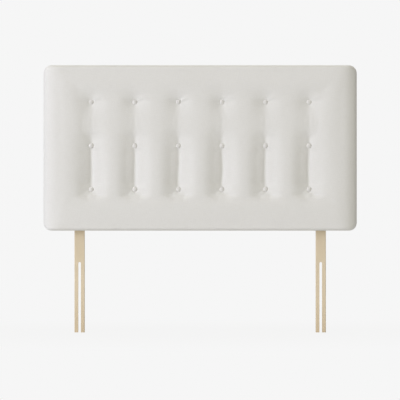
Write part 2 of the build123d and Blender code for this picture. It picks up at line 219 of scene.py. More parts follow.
class Effect:
    """Shader node groups that several finishes share, each built once."""

    made: dict[str, bpy.types.NodeTree] = {}

    @classmethod
    def group(cls, name: str, takes: dict[str, str], gives: Iterable[str],
              fill: Callable[[Wiring, dict], Iterable]) -> bpy.types.NodeTree:
        """Returns a node group, and builds it the first time.

        Args:
            name: The group's name.
            takes: Input names and their socket types.
            gives: The names of the outputs, which are all numbers.
            fill: Builds the nodes from the group's inputs, and returns the outputs' sockets.

        Returns:
            The group's tree.
        """
        if name not in cls.made:
            tree = bpy.data.node_groups.new(name, "ShaderNodeTree")
            for way, sockets in (("INPUT", takes), ("OUTPUT", dict.fromkeys(gives, "Float"))):
                for label, sort in sockets.items():
                    kind = "NodeSocket" + sort
                    tree.interface.new_socket(name=label, in_out=way, socket_type=kind)
            w = Wiring(tree)
            start = w.add("NodeGroupInput").outputs
            results = fill(w, {label: start[label] for label in takes})
            w.add("NodeGroupOutput", dict(zip(gives, results)))
            cls.made[name] = tree
        return cls.made[name]

    @classmethod
    def weave(cls) -> bpy.types.NodeTree:
        """Builds the plain weave of two sets of uneven yarns, for cloth laid out in metres.

        Returns:
            The group.
        """

        def fill(w: Wiring, given: dict) -> Iterable:
            """Wires yarns that cross over and under by turns.

            Args:
                w: The group's wiring.
                given: The group's inputs by name.

            Returns:
                The sockets of their relief and tone.
            """
            sway = w.span(w.noise(given["Vector"], 90.0, 2.0).outputs[0], -0.45, 0.45)
            place = w.add("SeparateXYZ", {0: given["Vector"]})
            counts = [
                w.calc("ADD", w.calc("DIVIDE", place.outputs[axis], given["Pitch"]), sway)
                for axis in range(2)
            ]
            waves = [w.calc("SINE", w.calc("MULTIPLY", count, math.pi)) for count in counts]
            rounds = [w.calc("ABSOLUTE", wave) for wave in waves]
            step = w.calc("ADD", w.calc("FLOOR", counts[0]), w.calc("FLOOR", counts[1]))
            over = w.calc("PINGPONG", step, 1.0)
            yarns = [
                w.calc("MULTIPLY", top, w.span(under, 0.55, 1.0))
                for top, under in (rounds, rounds[::-1])
            ]
            height = w.add("Mix", {0: over, 2: yarns[0], 3: yarns[1]}).outputs[0]
            slubs = [
                w.noise(given["Vector"], 1.0, 3.0, stretch).outputs[0]
                for stretch in ((36.0, 620.0, 1.0), (620.0, 36.0, 1.0))
            ]
            return height, w.calc("MULTIPLY", w.calc("ADD", *slubs), 0.5)

        takes = {"Vector": "Vector", "Pitch": "Float"}
        return cls.group("yarn_weave", takes, ("Height", "Tone"), fill)

    @classmethod
    def timber(cls) -> bpy.types.NodeTree:
        """Builds softwood's grain along Z: growth rings round a far heart, and fine fibres.

        Returns:
            The group.
        """

        def fill(w: Wiring, given: dict) -> Iterable:
            """Wires rings that darken towards their outer side.

            Args:
                w: The group's wiring.
                given: The group's inputs by name.

            Returns:
                The sockets of the rings' and the fibres' tone.
            """
            drift = w.noise(given["Vector"], 1.0, 2.0, (9.0, 9.0, 1.3)).outputs["Color"]
            shift = w.add("VectorMath", {0: drift, 1: (0.022, 0.022, 0.0)}, operation="MULTIPLY")
            place = w.add("VectorMath", {0: given["Vector"], 1: shift.outputs[0]}, operation="ADD")
            cross = w.add("SeparateXYZ", {0: place.outputs[0]})
            off = (w.calc("ADD", cross.outputs[0], given["Heart"]), cross.outputs[1])
            far = w.calc("SQRT", w.calc("ADD", *(w.calc("MULTIPLY", part, part) for part in off)))
            late = w.calc("POWER", w.calc("FRACT", w.calc("DIVIDE", far, given["Ring"])), 2.6)
            fibre = w.noise(given["Vector"], 1.0, 3.0, (1500.0, 1500.0, 22.0)).outputs[0]
            broad = w.noise(given["Vector"], 7.0, 1.0).outputs[0]
            return w.weighted((late, 0.62), (broad, 0.38)), fibre

        takes = {"Vector": "Vector", "Heart": "Float", "Ring": "Float"}
        return cls.group("timber_grain", takes, ("Tone", "Fibre"), fill)

    @classmethod
    def mottle(cls) -> bpy.types.NodeTree:
        """Builds a cloud of two sizes, for dust, pressed fibres and uneven plating.

        Returns:
            The group.
        """

        def fill(w: Wiring, given: dict) -> Iterable:
            """Wires the cloud.

            Args:
                w: The group's wiring.
                given: The group's inputs by name.

            Returns:
                The sockets of the whole cloud and of its finer part.
            """
            coarse = w.noise(given["Vector"], given["Scale"], 3.0).outputs[0]
            finer = w.calc("MULTIPLY", given["Scale"], 7.3)
            fine = w.noise(given["Vector"], finer, 4.0).outputs[0]
            return w.weighted((coarse, 0.6), (fine, 0.4)), fine

        return cls.group("mottle", {"Vector": "Vector", "Scale": "Float"}, ("Cloud", "Fine"), fill)


def new_material(name: str) -> tuple[bpy.types.Material, Wiring, Node]:
    """Starts a material.

    Args:
        name: The material's name.

    Returns:
        The material, its wiring and its Principled shader.
    """
    material = bpy.data.materials.new(name)
    material.use_nodes = True
    wiring = Wiring(material.node_tree)
    shader = wiring.add("BsdfPrincipled")
    wiring.add("OutputMaterial", {"Surface": shader.outputs[0]})
    return material, wiring, shader


@dataclass(frozen=True)
class WovenCloth:
    """The off-white upholstery cloth: a plain weave of matt, slightly uneven yarns.

    Args:
        name: The material's name.
        pale: The colour of the yarns' crowns.
        shade: The darker colour: painted shade in the gaps between the yarns, and the tone of thin
            yarns.
        pitch: The distance between yarns.
        patches: The scale of the faint cloud in its colour, to the metre.
    """

    name: str = "off_white_weave"
    pale: Colour = (0.805, 0.80, 0.788)
    shade: Colour = (0.70, 0.688, 0.660)
    pitch: float = 1.5 * MM
    patches: float = 5.0

    def material(self) -> bpy.types.Material:
        """Wires the cloth, laid out by the UV map that holds its flat cut.

        Returns:
            The material.
        """
        material, w, shader = new_material(self.name)
        place = w.add("UVMap", uv_map=CLOTH_LAYOUT).outputs[0]
        weave = w.effect(Effect.weave(), Vector=place, Pitch=self.pitch)
        cloud = w.effect(Effect.mottle(), Vector=place, Scale=self.patches)
        # The weave's relief darkens the colour in the gaps between the yarns: painted shade. The
        # slubs and the cloud are the yarns' own uneven colour.
        tone = w.weighted((weave["Height"], 0.35), (weave["Tone"], 0.75), (cloud["Cloud"], 0.25))
        relief = w.weighted((weave["Height"], 0.7), (weave["Tone"], 0.3))
        w.feed(shader, {
            "Base Color": w.ramp(tone, (0.25, self.shade), (0.85, self.pale)),
            "Normal": w.bump(relief, 0.35, 0.35 * MM),
            "Roughness": 0.92,
            "Specular IOR Level": 0.15,
            "Sheen Weight": 0.12,
            "Sheen Roughness": 0.5,
        })
        return material


@dataclass(frozen=True)
class Softwood:
    """Planed or sawn pale pine, with its grain along one axis.

    Args:
        name: The material's name.
        turn: The turn that brings the grain's axis on to Z.
        early: The pale wood of the growth rings.
        late: The darker wood of the growth rings.
        ring: The width of a growth ring.
        rough: The surface's roughness.
        heart: How far to one side the heart of the tree lies.
        foot_darkening: How much darker the wood is at its foot.
        foot_darkening_height: How far up that darkening fades.
    """

    name: str
    turn: tuple[float, float, float] = (0.0, 0.0, 0.0)
    early: Colour = (0.795, 0.69, 0.518)
    late: Colour = (0.675, 0.55, 0.377)
    ring: float = 3.4 * MM
    rough: float = 0.62
    heart: float = 71 * MM
    foot_darkening: float = 0.0
    foot_darkening_height: float = 160 * MM

    def material(self) -> bpy.types.Material:
        """Wires the wood.

        Returns:
            The material.
        """
        material, w, shader = new_material(self.name)
        place = w.add("TexCoord").outputs["Object"]
        turned = w.add("Mapping", {"Vector": place, "Rotation": self.turn}).outputs[0]
        grain = w.effect(Effect.timber(), Vector=turned, Heart=self.heart, Ring=self.ring)
        tone = w.calc("ADD", grain["Tone"], w.span(grain["Fibre"], -0.25, 0.25))
        # The wood is made darker towards its foot, fading out higher up.
        height = w.add("SeparateXYZ", {0: place}).outputs[2]
        feeds = {0: height, 1: 0.0, 2: self.foot_darkening_height, 3: self.foot_darkening, 4: 0.0}
        tone = w.calc("ADD", tone, w.add("MapRange", feeds).outputs[0], clamp=True)
        w.feed(shader, {
            "Base Color": w.ramp(tone, (0.12, self.early), (0.85, self.late)),
            "Roughness": w.span(grain["Fibre"], self.rough - 0.1, self.rough + 0.1),
            "Normal": w.bump(grain["Fibre"], 0.25, 0.15 * MM),
            "Specular IOR Level": 0.3,
        })
        return material


@dataclass(frozen=True)
class Mottled:
    """A finish whose colour, roughness and relief follow a fine cloud, from felt to plated steel.

    Args:
        name: The material's name.
        light: The brighter colour.
        dark: The darker colour.
        scale: The cloud's size, in patches to the metre.
        rough: The lowest and highest roughness.
        relief: The depth of the surface's grain, in millimetres.
        metal: 1 for bare metal, 0 for anything else.
    """

    name: str
    light: Colour
    dark: Colour
    scale: float
    rough: tuple[float, float]
    relief: float
    metal: float = 0.0

    def material(self) -> bpy.types.Material:
        """Wires the finish.

        Returns:
            The material.
        """
        material, w, shader = new_material(self.name)
        place = w.add("TexCoord").outputs["Object"]
        cloud = w.effect(Effect.mottle(), Vector=place, Scale=self.scale)
        w.feed(shader, {
            "Base Color": w.ramp(cloud["Cloud"], (0.3, self.dark), (0.7, self.light)),
            "Roughness": w.span(cloud["Fine"], *self.rough),
            "Normal": w.bump(cloud["Fine"], 0.4, self.relief * MM),
            "Metallic": self.metal,
        })
        return material


SAWN_PINE = Softwood("sawn_pine_upright", rough=0.75, late=(0.56, 0.41, 0.23))


class Finish(Enum):
    """The finishes of the headboard's pieces."""

    COVER = WovenCloth()
    # The caps' cloth is the cover cloth made darker: painted shade for the buttons sunk in the
    # tufts.
    CAPS = WovenCloth("cap_cloth_painted_shade", (0.765, 0.757, 0.742), (0.665, 0.652, 0.622))
    STRUT = Softwood("planed_pine", foot_darkening=0.45)
    UPRIGHT = SAWN_PINE
    RAIL = replace(SAWN_PINE, name="sawn_pine_rail", turn=(0.0, math.pi / 2, 0.0))
    BOARD = Mottled("fibreboard", (0.36, 0.23, 0.13), (0.24, 0.15, 0.08), 260, (0.6, 0.8), 0.1)
    FOAM = Mottled("upholstery_foam", (0.84, 0.78, 0.58), (0.74, 0.66, 0.46), 420, (0.9, 1.0), 0.6)
    WADDING = Mottled("soft_wadding", (0.88, 0.88, 0.88), (0.74, 0.74, 0.75), 180, (0.9, 1.0), 0.8)
    LINING = Mottled("lining", (0.03, 0.03, 0.033), (0.012, 0.012, 0.014), 700, (0.7, 0.95), 0.25)
    TWINE = Mottled("waxed_twine", (0.76, 0.70, 0.56), (0.60, 0.54, 0.41), 900, (0.55, 0.75), 0.1)
    NYLON = Mottled("moulded_nylon", (0.80, 0.80, 0.77), (0.74, 0.74, 0.71), 120, (0.35, 0.5), 0.05)
    ZINC = Mottled("zinc_plate", (0.66, 0.67, 0.69), (0.52, 0.53, 0.55), 160, (0.28, 0.5), 0.06, 1)
    PRESSED = Mottled("tinplate", (0.78, 0.78, 0.79), (0.66, 0.66, 0.68), 200, (0.25, 0.4), 0.04, 1)

    def get(self) -> bpy.types.Material:
        """Returns the finish's one material, made when it is first asked for."""
        return bpy.data.materials.get(self.value.name) or self.value.material()


# Pieces


def placed(name: str, data: bpy.types.ID) -> bpy.types.Object:
    """Puts a new object in the scene.

    Args:
        name: Its name.
        data: The mesh, camera or light that it shows.

    Returns:
        The object.
    """
    shown = bpy.data.objects.new(name, data)
    bpy.context.scene.collection.objects.link(shown)
    return shown


def as_mesh(name: str, bm: bmesh.types.BMesh) -> bpy.types.Mesh:
    """Turns a bmesh into a mesh.

    Args:
        name: Its name.
        bm: The bmesh, which is freed.

    Returns:
        The mesh.
    """
    mesh = bpy.data.meshes.new(name)
    bm.to_mesh(mesh)
    bm.free()
    return mesh


def as_piece(name: str, bm: bmesh.types.BMesh, finish: Finish) -> bpy.types.Object:
    """Turns a finished bmesh into a smooth piece of the headboard that rides on its body.

    Args:
        name: The piece's name.
        bm: Its mesh, which is freed.
        finish: Its finish.

    Returns:
        The new object.
    """
    for face in bm.faces:
        face.smooth = True
    piece = placed(name, as_mesh(name, bm))
    piece.data.materials.append(finish.get())
    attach(piece, BODY)
    return piece


def verts_of(parts: Iterable) -> list[bmesh.types.BMVert]:
    """Returns the vertices among the parts of a bmesh."""
    return [part for part in parts if isinstance(part, bmesh.types.BMVert)]


def edges_of(parts: Iterable) -> list[bmesh.types.BMEdge]:
    """Returns the edges among the parts of a bmesh."""
    return [part for part in parts if isinstance(part, bmesh.types.BMEdge)]


def grow(bm: bmesh.types.BMesh, rim: list[bmesh.types.BMEdge]) -> tuple[list, list]:
    """Adds a band of faces to an open rim, with no width yet.

    Args:
        bm: The mesh.
        rim: The rim's edges.

    Returns:
        The new rim's edges and its vertices, which are still to be moved.
    """
    grown = bmesh.ops.extrude_edge_only(bm, edges=rim)["geom"]
    return [edge for edge in edges_of(grown) if edge.is_boundary], verts_of(grown)


@dataclass(frozen=True)
class Station:
    """One place down a tuft line.

    Args:
        place: Its distance below the top button, in row pitches.
        depth: Its depth as a share of the tufts' depth.
        width: Its half width as a share of the tufts' half width.
    """

    place: float
    depth: float
    width: float


@dataclass(frozen=True)
class Fold:
    """A small ridge of cloth that runs out from a button.

    Args:
        turn: Its direction in degrees, anticlockwise from the right as seen from the front.
        length: How far it runs, in millimetres as the next two.
        height: How far it stands up.
        width: Half its width.
    """

    turn: float
    length: float
    height: float
    width: float


@dataclass
class TuftPattern:
    """Where and how deep the front is drawn down: six upright lines with three buttons each.

    Args:
        column_pitch: The distance between the tuft lines.
        row_pitch: The distance between the rows of buttons.
        columns: The number of tuft lines.
        rows: The number of rows of buttons.
        top_row: The height of the top row.
        depth: The depth of the tuft lines.
        half_width: Half their width.
        straight: The share of the half width that the straight part of a flank takes.
        rounding: The share of it over which the crease is rounded.
        opening: Where, from the top row, a line's round upper end becomes a crease.
        closing: Where, from the bottom row, the crease becomes a round lower end.
        uneven: How much the lines' depths differ midway between two buttons.
        dish: The depth of the dish round a button.
        dish_reach: How far the dish reaches.
        hollows: The depths of the wider hollows round the buttons, row by row.
        hollow_reach: How far these hollows reach.
        wander: How far the lines stray sideways midway between two buttons.
        pucker: The height of the pleats round a button.
        pleats: The number of these pleats.
        pleat_fade: The distance over which they flatten out.
        fan: How far out from a button its pleats and folds may reach.
        cap: The distance from a button's middle at which they begin, under its cap.
        pleat_rise: The distance over which the pleats rise from there.
        fold_rise: The distance over which the folds rise from there.
        fold_turn: How much a fold's direction differs from button to button, in degrees.
        stations: The depths and widths down a tuft line.
        folds: The folds round a button, row by row.
    """

    column_pitch: float = 187.5 * MM
    row_pitch: float = 188 * MM
    columns: int = 6
    rows: int = 3
    top_row: float = 994 * MM
    depth: float = 28 * MM
    half_width: float = 91 * MM
    straight: float = 0.48
    rounding: float = 0.08
    opening: tuple[float, float] = (-0.16, 0.02)
    closing: tuple[float, float] = (-0.02, 0.14)
    uneven: float = 0.11
    dish: float = 2 * MM
    dish_reach: float = 24 * MM
    hollows: tuple[float, ...] = (6 * MM, 1.5 * MM, 1 * MM)
    hollow_reach: float = 62 * MM
    wander: float = 5.12 * MM
    pucker: float = 0.6 * MM
    pleats: int = 7
    pleat_fade: float = 19 * MM
    fan: float = 75 * MM
    cap: float = 7 * MM
    pleat_rise: float = 6 * MM
    fold_rise: float = 11 * MM
    fold_turn: float = 16.0
    stations: tuple[Station, ...] = (
        Station(-0.30, 0.00, 0.60),
        Station(-0.12, 0.12, 0.80),
        Station(0.00, 0.357, 0.90),
        Station(0.18, 0.31, 0.94),
        Station(0.36, 0.30, 1.00),
        Station(0.62, 0.36, 1.00),
        Station(0.84, 0.66, 1.00),
        Station(1.00, 0.661, 1.00),
        Station(1.18, 0.90, 1.00),
        Station(1.50, 1.00, 1.00),
        Station(1.84, 1.06, 1.00),
        Station(2.00, 0.821, 0.98),
        Station(2.12, 0.70, 0.92),
        Station(2.21, 0.22, 0.80),
        Station(2.30, 0.00, 0.60),
    )
    folds: tuple[tuple[Fold, ...], ...] = (
        (Fold(27, 60, 3.2, 6), Fold(-28, 48, 2.0, 7), Fold(158, 42, 1.5, 6)),
        (Fold(24, 44, 1.8, 6), Fold(-26, 42, 1.5, 6)),
        (Fold(226, 64, 2.6, 7), Fold(-36, 52, 1.8, 7), Fold(255, 38, 0.7, 7)),
    )

    def column_places(self) -> list[float]:
        """Returns the tuft lines' places along X."""
        return [(i - (self.columns - 1) / 2) * self.column_pitch for i in range(self.columns)]

    def row_places(self) -> list[float]:
        """Returns the button rows' heights."""
        return [self.top_row - i * self.row_pitch for i in range(self.rows)]

    def below(self, z: float) -> float:
        """Returns how far a height lies below the top row, in row pitches."""
        return (self.top_row - z) / self.row_pitch

    def along(self, z: float) -> tuple[float, float]:
        """Returns a tuft line's depth and half width at a height.

        Args:
            z: The height.

        Returns:
            The depth and the half width, in metres.
        """
        place = self.below(z)
        first, last = self.stations[0], self.stations[-1]
        if first.place < place < last.place:
            for before, after in zip(self.stations, self.stations[1:]):
                if place <= after.place:
                    share = ease(place, before.place, after.place)
                    depth = self.depth * mix(before.depth, after.depth, share)
                    return depth, self.half_width * mix(before.width, after.width, share)
        return 0.0, first.width * self.half_width

    def across(self, share: float, closed: float) -> float:
        """Returns how far down the cloth lies beside a tuft line, as a share of the line's depth.

        Args:
            share: The distance from the line, in half widths.
            closed: 0 for straight flanks that meet in a crease, 1 for a round hollow.

        Returns:
            1 at the line and 0 at the crown.
        """
        if share >= 1:
            return 0.0
        whole = (1 + self.straight) / 2
        if share < self.rounding:
            crease = 1 - (share * share / self.rounding + self.rounding) / 2 / whole
        elif share < self.straight:
            crease = 1 - share / whole
        else:
            crease = (1 - share) ** 2 / (2 * (1 - self.straight)) / whole
        crease /= 1 - self.rounding / 2 / whole
        return mix(crease, math.cos(share * math.pi / 2) ** 2, closed)

    def nearest(self, x: float, z: float) -> tuple[int, int, float, float]:
        """Returns the button nearest to a place.

        Args:
            x: The place along X.
            z: The height.

        Returns:
            Its column's and row's numbers, and how far the place lies to its right and above it.
        """
        columns, rows = self.column_places(), self.row_places()
        column = min(range(self.columns), key=lambda i: abs(columns[i] - x))
        row = min(range(self.rows), key=lambda i: abs(rows[i] - z))
        return column, row, x - columns[column], z - rows[row]

    def sunk(self, x: float, z: float) -> float:
        """Returns how far the cloth lies below the untufted face at a place.

        Args:
            x: The place along X.
            z: The height.

        Returns:
            The depth in metres.
        """
        depth, half_width = self.along(z)
        column, row, off_x, off_z = self.nearest(x, z)
        place, last = self.below(z), self.rows - 1
        closed = 1 - ease(place, *self.opening) * (1 - ease(place - last, *self.closing))
        if 0 < place < last:
            differs = self.uneven * (0.5 + stray(column * 2.9, place * 0.8, 3.1))
            depth *= 1 - differs * math.sin(math.pi * place) ** 2
        far = math.hypot(off_x, off_z)
        dish = self.dish * bell(far, self.dish_reach)
        hollow = self.hollows[row] * bell(far, self.hollow_reach)
        return depth * self.across(abs(off_x) / half_width, closed) + dish + hollow

    def sway(self, x: float, z: float) -> float:
        """Returns how far the tuft lines stray sideways at a place, nothing at the buttons.

        Args:
            x: The place along X.
            z: The height.

        Returns:
            The move along X in metres.
        """
        column, _, off_x, _ = self.nearest(x, z)
        place = self.below(z)
        if not 0 < place < self.rows - 1:
            return 0.0
        near = (1 - ease(abs(off_x), 0.0, self.half_width)) * math.sin(math.pi * (place % 1)) ** 0.6
        return self.wander * stray(column * 3.7, place * 1.6, 0.5) * near

    def raised(self, x: float, z: float) -> float:
        """Returns how far the small folds that fan out from the buttons stand up at a place.

        Args:
            x: The place along X.
            z: The height.

        Returns:
            The height in metres.
        """
        column, row, off_x, off_z = self.nearest(x, z)
        far = math.hypot(off_x, off_z)
        if far > self.fan:
            return 0.0
        seed = column * 1.9 + row * 2.7
        pleat = 0.5 + 0.5 * math.cos(self.pleats * math.atan2(off_z, off_x) + seed)
        rise = ease(far, self.cap, self.cap + self.pleat_rise) * math.exp(-far / self.pleat_fade)
        height = self.pucker * pleat * rise
        for number, fold in enumerate(self.folds[row]):
            turn = math.radians(fold.turn + self.fold_turn * stray(number * 3.1, seed, 4.2))
            along = off_x * math.cos(turn) + off_z * math.sin(turn)
            aside = off_z * math.cos(turn) - off_x * math.sin(turn)
            length = fold.length * MM
            if 0 < along < length:
                width = fold.width * MM * (0.6 + 0.8 * along / length)
                ridge = fold.height * MM * math.exp(-((aside / width) ** 2))
                rise = ease(along, self.cap, self.cap + self.fold_rise)
                fade = 1 - ease(along, 0.25 * length, length)
                height += ridge * rise * fade * (0.75 + 0.5 * stray(seed, number * 5.3, 1.7))
        return height

    def seats(self) -> list[Vector]:
        """Returns the middle of each button's seat, with its depth below the untufted face as Y."""
        rows = self.row_places()
        return [Vector((x, self.sunk(x, z), z)) for x in self.column_places() for z in rows]


@dataclass(frozen=True)
class Roll:
    """The soft turn of the face into the sides.

    Args:
        across: How far it reaches over the face.
        down: How far it reaches down the side.
        slope: How much lower the face lies at its left and right ends.
        reach: How far that slope reaches in from the ends.
    """

    across: float = 13 * MM
    down: float = 25 * MM
    slope: float = 30 * MM
    reach: float = 90 * MM


@dataclass
class PaddedBlock:
    """The tufted block that the cloth, wadding and foam share, one inside the other.

    Args:
        node: The CAD node whose box gives the block's outline.
        name: The piece's name.
        finish: Its finish.
        slot: The name of its material slot; not used.
        tufts: Where and how deep its front is drawn down.
        fill: How tight it is, from 0 to 1; not used.
        coarse: The distance between the mesh's lines far from seams and buttons.
        fine: The distances of the lines next to a seam or button row, in millimetres.
        near_edge: The distances of the lines next to the outline, in millimetres.
        least: The least distance between two lines.
        side_steps: The number of faces across a side.
        under: How far the block lies under the cloth.
        corner: The cloth outline's corner radius.
        roll: The cloth's rolled edge.
        gathers: The number of grooves at each corner, where the cloth is gathered.
        gather_depth: The depth of these grooves.
        gather_ends: How far behind the front and before the back they begin and end to deepen.
        fold_level: How far behind the front the small folds are still raised.
        turned: How far the cloth is turned in behind the frame.
        turn_steps: The steps of that turned-in edge, as shares of it.
        thickness: The wall of a hollow layer.
        filled: How the cloth is blown up, if it is.
    """

    node: str
    name: str
    finish: Finish
    slot: str
    tufts: TuftPattern
    fill: float = 0.75
    coarse: float = 11 * MM
    fine: tuple[float, ...] = (0, 2, 4, 6.5, 9, 12, 15, 18.5, 22.5, 27, 32, 38, 45, 53, 62, 72, 83)
    near_edge: tuple[float, ...] = (4, 8, 12, 16, 20, 25, 30, 35, 42, 50, 60, 72)
    least: float = 0.9 * MM
    side_steps: int = 12
    under: float = 0.0
    corner: float = 34 * MM
    roll: Roll = Roll()
    gathers: int = 3
    gather_depth: float = 1.3 * MM
    gather_ends: tuple[float, float] = (20 * MM, 8 * MM)
    fold_level: float = 45 * MM
    turned: float = 0.0
    turn_steps: tuple[float, ...] = (0.06, 0.14, 0.4, 0.4)
    thickness: float = 0.0
    filled: "Filling | None" = None

    def __post_init__(self) -> None:
        """Reads the block's outline and depth from its CAD node."""
        low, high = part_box(self.node)
        self.half_width = (high.x - low.x) / 2
        self.half_height = (high.z - low.z) / 2
        self.middle = (high.z + low.z) / 2
        self.front = low.y
        self.back = high.y

    def lines(self, seams: list[float], low: float, high: float) -> list[float]:
        """Returns the mesh lines across one direction, close together beside each seam.

        Args:
            seams: The places of the tuft lines or button rows.
            low: The lower edge of the face.
            high: The upper edge of the face.

        Returns:
            The sorted places of the lines.
        """
        places = {low, high}
        for seam in seams:
            for offset in self.fine:
                places.update((seam - offset * MM, seam + offset * MM))
        reach = self.fine[-1] * MM
        for start, end in ((low, min(seams) - reach), (max(seams) + reach, high)):
            steps = max(1, round((end - start) / self.coarse))
            places.update(mix(start, end, i / steps) for i in range(1, steps))
        for offset in self.near_edge:
            places.update((low + offset * MM, high - offset * MM))
        kept: list[float] = []
        for place in sorted(places):
            if low <= place <= high and (not kept or place - kept[-1] > self.least):
                kept.append(place)
        kept[-1] = high
        return kept

    def blank(self) -> bmesh.types.BMesh:
        """Folds the cut cloth square: a gridded front and four sides, open at the back.

        Returns:
            Its mesh.
        """
        foot, head = self.middle - self.half_height, self.middle + self.half_height
        across = self.lines(self.tufts.column_places(), -self.half_width, self.half_width)
        up = self.lines(self.tufts.row_places(), foot, head)
        bm = bmesh.new()
        bmesh.ops.create_grid(bm, x_segments=len(across) - 1, y_segments=len(up) - 1, size=0.5)
        for vert in bm.verts:
            column = round((vert.co.x + 0.5) * (len(across) - 1))
            row = round((vert.co.y + 0.5) * (len(up) - 1))
            vert.co = (across[column], self.front, up[row])
        rim = [edge for edge in bm.edges if edge.is_boundary]
        step = (self.back - self.front) / self.side_steps
        for _ in range(self.side_steps):
            rim, fresh = grow(bm, rim)
            bmesh.ops.translate(bm, verts=fresh, vec=(0, step, 0))
        return bm

    def shaped(self, x: float, y: float, z: float) -> Vector:
        """Returns where a place of the square blank goes once corners and edges are rounded.

        Args:
            x: The place along X.
            y: The place along Y, from the front to the back.
            z: The height.

        Returns:
            The rounded place.
        """
        corner = self.corner - self.under
        inner_x, inner_z = self.half_width - corner, self.half_height - corner
        up = z - self.middle
        dx, dz = max(abs(x) - inner_x, 0.0), max(abs(up) - inner_z, 0.0)
        side_x, side_z = math.copysign(1, x), math.copysign(1, up)
        if dx and dz:
            reach = max(dx, dz)
            length = math.hypot(dx, dz)
            dx, dz = dx / length * reach, dz / length * reach
            x, up = side_x * (inner_x + dx), side_z * (inner_z + dz)
            inset = corner - reach
            way = Vector((side_x * dx, 0, side_z * dz)).normalized()
        elif self.half_width - abs(x) < self.half_height - abs(up):
            inset = self.half_width - abs(x)
            way = Vector((side_x, 0, 0))
        else:
            inset = self.half_height - abs(up)
            way = Vector((0, 0, side_z))
        place = Vector((x, y, self.middle + up))
        fall = y - self.front
        across, down = self.roll.across - self.under, self.roll.down - self.under
        if fall < down and (fall > TINY or inset < across):
            share = (1 - inset / across) if fall < TINY else 1 + fall / down
            angle = math.pi / 4 * share
            place += way * (inset - across * (1 - math.sin(angle)))
            place.y += down * (1 - math.cos(angle)) - fall
        end = max(0.0, 1 - (self.half_width - abs(place.x)) / self.roll.reach)
        place.y += self.roll.slope * end ** 3 * (self.back - place.y) / (self.back - self.front)
        return place

    def build(self) -> bmesh.types.BMesh:
        """Shapes and tufts the block, its cloth's layout kept as a UV map in metres.

        Returns:
            Its mesh.
        """
        bm = self.blank()
        layout = bm.loops.layers.uv.new(CLOTH_LAYOUT)
        flat: dict[int, Vector] = {}
        bm.verts.index_update()
        for vert in bm.verts:
            x, y, z = vert.co
            fall, up = y - self.front, z - self.middle
            side = fall if abs(x) > self.half_width - TINY else 0.0
            rise = fall if abs(up) > self.half_height - TINY else 0.0
            flat[vert.index] = Vector((x + math.copysign(side, x), z + math.copysign(rise, up)))
        for face in bm.faces:
            for loop in face.loops:
                loop[layout].uv = flat[loop.vert.index]
        for vert in bm.verts:
            on_face = vert.co.y - self.front < TINY
            place = self.shaped(*vert.co)
            if on_face:
                place.y += self.tufts.sunk(place.x, place.z)
                place.x += self.tufts.sway(place.x, place.z)
            vert.co = place
        if self.turned:
            self.turn_in(bm)
        elif not self.thickness:
            bmesh.ops.holes_fill(bm, edges=[edge for edge in bm.edges if edge.is_boundary])
        bmesh.ops.recalc_face_normals(bm, faces=bm.faces)
        return bm

    def turn_in(self, bm: bmesh.types.BMesh) -> None:
        """Folds the free edge in behind the frame.

        Args:
            bm: The block's mesh, open at the back.
        """
        rim = [edge for edge in bm.edges if edge.is_boundary]
        middle = Matrix.Translation((0, 0, -self.middle))
        for step in self.turn_steps:
            rim, fresh = grow(bm, rim)
            inward = self.turned * step
            shrink = Vector((1 - inward / self.half_width, 1, 1 - inward / self.half_height))
            bmesh.ops.scale(bm, verts=fresh, vec=shrink, space=middle)

    def gathered(self, place: Vector) -> Vector:
        """Returns the move that draws the cloth in where it is gathered to turn a corner.

        Args:
            place: A place on the cloth.

        Returns:
            The move towards the corner's centre, nothing away from the corners and on the face.
        """
        out_x = abs(place.x) - self.half_width + self.corner
        out_z = abs(place.z - self.middle) - self.half_height + self.corner
        if out_x <= 0 or out_z <= 0:
            return Vector()
        groove = math.sin(2 * self.gathers * math.atan2(out_z, out_x)) ** 4
        behind, before = self.gather_ends
        depth = self.gather_depth * groove * ease(place.y, self.front + behind, self.back - before)
        in_x, in_z = math.copysign(out_x, -place.x), math.copysign(out_z, self.middle - place.z)
        return Vector((in_x, 0, in_z)).normalized() * depth

    def crumple(self, piece: bpy.types.Object) -> None:
        """Raises the small folds round the buttons and draws in the gathers at the corners.

        Args:
            piece: The cloth.
        """
        for vert in piece.data.vertices:
            if vert.co.y < self.front + self.fold_level:
                vert.co.y -= self.tufts.raised(vert.co.x, vert.co.z)
            vert.co += self.gathered(vert.co)

    def make(self) -> bpy.types.Object:
        """Makes the block, which stands for its CAD node.

        Returns:
            The piece.
        """
        piece = as_piece(self.name, self.build(), self.finish)
        if self.filled:
            self.filled.blow_up(piece, self)
            self.crumple(piece)
        if self.thickness:
            piece.modifiers.new("thickness", "SOLIDIFY").thickness = self.thickness
        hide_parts(self.node)
        return piece


